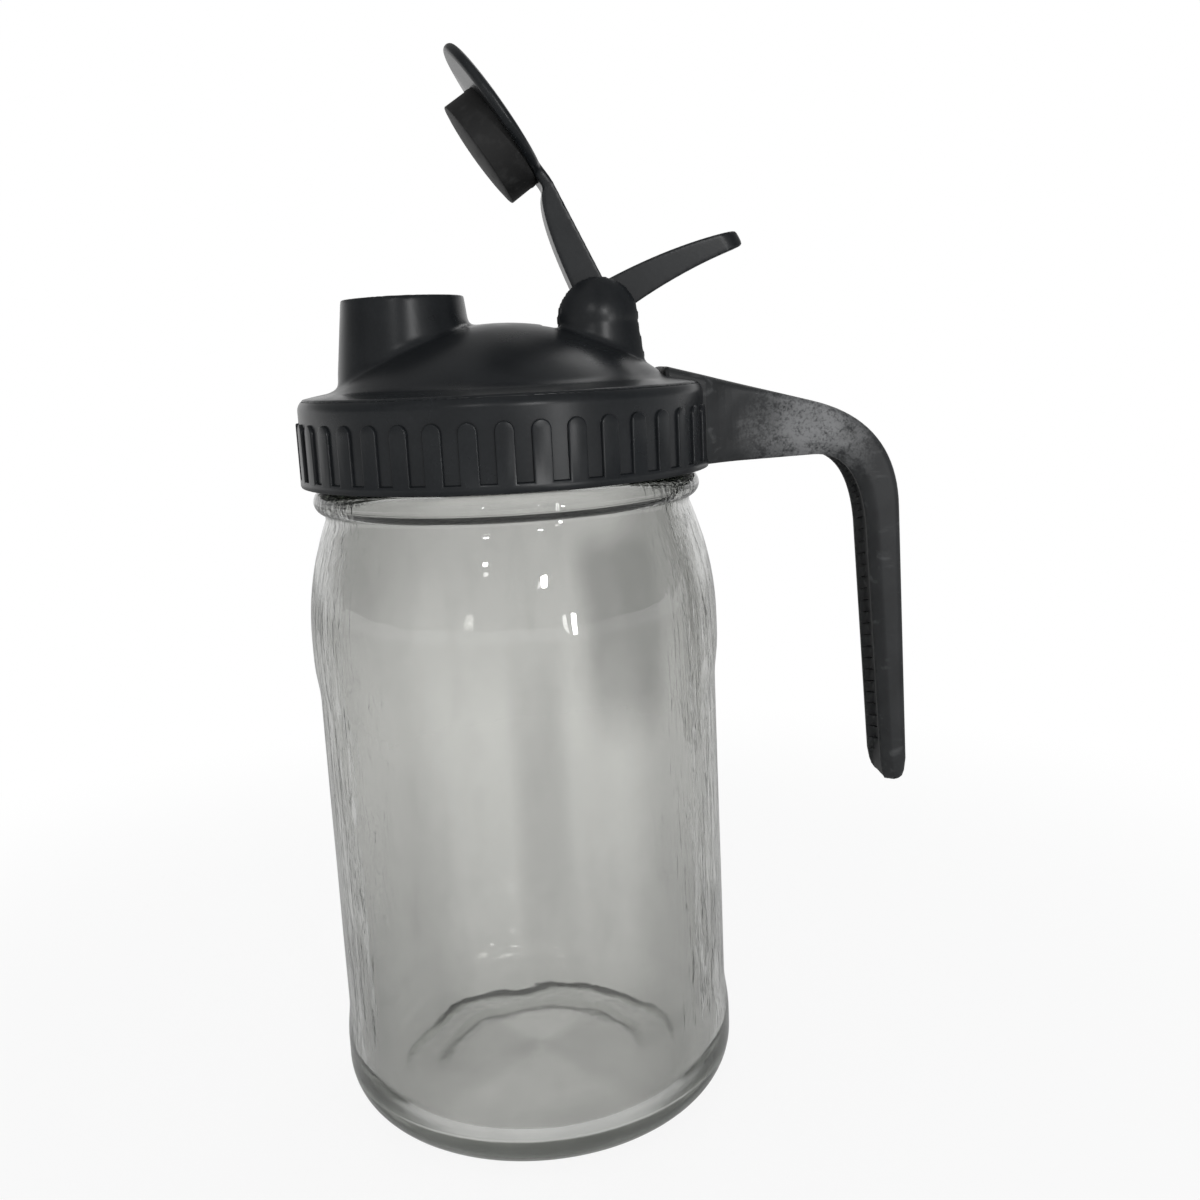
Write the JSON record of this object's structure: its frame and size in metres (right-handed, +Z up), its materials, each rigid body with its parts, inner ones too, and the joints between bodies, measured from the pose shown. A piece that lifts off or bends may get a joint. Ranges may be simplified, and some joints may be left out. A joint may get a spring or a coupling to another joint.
{
  "type": "glass pitcher jar with pour lid",
  "caption": "Wide-mouth glass jar with a black screw lid that has a pour spout, a snap-in flip cap with plug and thumb lever, and a side handle.",
  "frame": {"origin": "centre of the jar's foot, on the surface that it stands on", "axes": "+Z up the jar axis, +X from the jar to the handle, the pour spout points to -X"},
  "size_m": [0.1422, 0.0964, 0.2492],
  "materials": {
    "clear_glass": "polished",
    "lid_plastic": "satin moulded",
    "handle_plastic": "satin moulded, scuffed",
    "cap_plastic": "satin moulded",
    "soft_seal": "matte"
  },
  "bodies": {
    "jar": {"glass_jar": "clear_glass"},
    "gasket": {"lid_gasket": "soft_seal"},
    "lid": {"pour_lid": "lid_plastic", "handle": "handle_plastic"},
    "cap": {"flip_cap": "cap_plastic", "cap_plug": "soft_seal"}
  },
  "joints": [
    {"name": "lid_rise", "type": "slide", "parent": "jar", "child": "gasket", "axis": [0, 0, 1], "range_m": [0, 0.02032]},
    {"name": "lid_turn", "type": "hinge", "parent": "gasket", "child": "lid", "pos_m": [0, 0, 0.1714], "axis": [0, 0, 1], "range_deg": [0, 1440]},
    {"name": "cap_flip", "type": "hinge", "parent": "lid", "child": "cap", "pos_m": [0.023, 0, 0.18826], "axis": [0, 1, 0], "range_deg": [-56, 16]}
  ],
  "couplings": [
    {"joint": "lid_rise", "follows": "lid_turn", "m_per_rad": 0.00080851}
  ]
}
